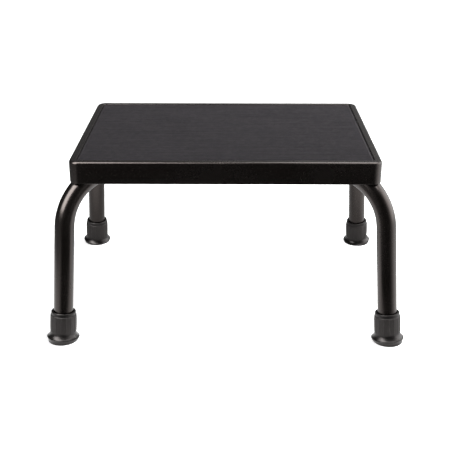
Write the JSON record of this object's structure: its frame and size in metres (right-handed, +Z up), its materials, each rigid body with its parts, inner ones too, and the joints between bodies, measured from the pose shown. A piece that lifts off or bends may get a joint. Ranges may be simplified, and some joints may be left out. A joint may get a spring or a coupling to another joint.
{
  "type": "step stool",
  "caption": "Low step stool: a skirted steel platform with a ribbed rubber tread on splayed bent-tube legs with flared rubber tips.",
  "frame": {"origin": "on the floor, under the middle of the platform", "axes": "+X along the platform's length, +Z up, -Y towards the front"},
  "size_m": [0.4702, 0.3652, 0.2392],
  "materials": {
    "pan_coat": "smooth satin black powder coat",
    "tread_rubber": "matt black moulded rubber with fine ribs",
    "tube_coat": "satin black powder coat",
    "weld_coat": "satin black powder coat over a weld bead",
    "stiffener_coat": "satin black powder coat",
    "tip_rubber": "matt barrel, smooth glossier flare",
    "zinc_steel": "bright zinc plate"
  },
  "bodies": {
    "root": {"centre_weld": "weld_coat", "foot_tip_front_left": "tip_rubber", "foot_tip_front_right": "tip_rubber", "foot_tip_rear_left": "tip_rubber", "foot_tip_rear_right": "tip_rubber", "leg_bolt_front_left": "zinc_steel", "leg_bolt_front_right": "zinc_steel", "leg_bolt_rear_left": "zinc_steel", "leg_bolt_rear_right": "zinc_steel", "leg_tube_front_left_to_rear_right": "tube_coat", "leg_tube_front_right": "tube_coat", "leg_tube_rear_left": "tube_coat", "platform_pan": "pan_coat", "saddle_washer_front_left": "zinc_steel", "saddle_washer_front_right": "zinc_steel", "saddle_washer_rear_left": "zinc_steel", "saddle_washer_rear_right": "zinc_steel", "stiffener_left": "stiffener_coat", "stiffener_right": "stiffener_coat", "tip_disc_front_left": "zinc_steel", "tip_disc_front_right": "zinc_steel", "tip_disc_rear_left": "zinc_steel", "tip_disc_rear_right": "zinc_steel", "tread_mat": "tread_rubber", "weld_nut_front_left": "zinc_steel", "weld_nut_front_right": "zinc_steel", "weld_nut_rear_left": "zinc_steel", "weld_nut_rear_right": "zinc_steel"}
  },
  "joints": []
}
